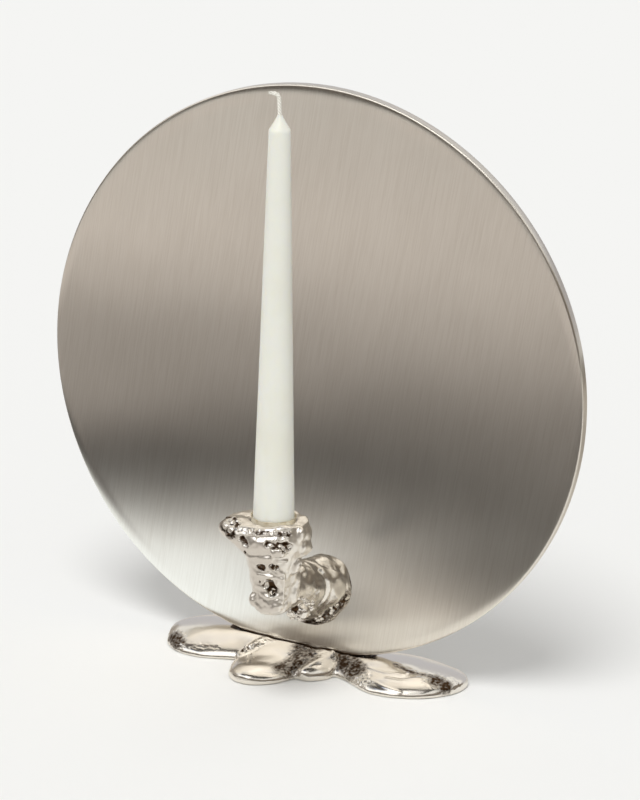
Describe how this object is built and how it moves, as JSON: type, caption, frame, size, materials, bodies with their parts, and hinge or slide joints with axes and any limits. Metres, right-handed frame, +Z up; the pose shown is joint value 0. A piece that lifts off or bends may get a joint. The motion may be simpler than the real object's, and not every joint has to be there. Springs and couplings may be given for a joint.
{
  "type": "candle plate",
  "caption": "Upright round satin metal reflector plate on a low foot of cast petals, with a rough cast arm and cup that hold a tall taper candle in front of the plate.",
  "frame": {"origin": "on the table, under the middle of the plate's rim", "axes": "+Z up, -Y forward from the plate towards the candle, +X to the right as seen from the front"},
  "size_m": [0.32, 0.136, 0.3343],
  "materials": {
    "satin_nickel": "satin, brushed by hand",
    "cast_nickel": "rough cast, nickel plated and polished",
    "screw_steel": "plain machined",
    "sleeve_brass": "thin drawn tube, dull",
    "ivory_wax": "dipped wax, smooth",
    "cotton_wick": "braided cotton, waxed"
  },
  "bodies": {
    "stand": {"reflector_plate": "satin_nickel", "left_petal": "cast_nickel", "front_petal": "cast_nickel", "fold_petal": "cast_nickel", "right_petal": "cast_nickel", "rear_petal": "cast_nickel", "foot_screws": "screw_steel", "arm_branch": "cast_nickel", "arm_screws": "screw_steel", "arm_washers": "screw_steel", "candle_cup": "cast_nickel", "cup_stud": "screw_steel", "socket_sleeve": "sleeve_brass"},
    "candle": {"candle_wax": "ivory_wax", "candle_wick": "cotton_wick"}
  },
  "joints": [
    {"name": "candle_lift", "type": "slide", "parent": "stand", "child": "candle", "axis": [0, 0, 1], "range_m": [0, 0.1]}
  ]
}
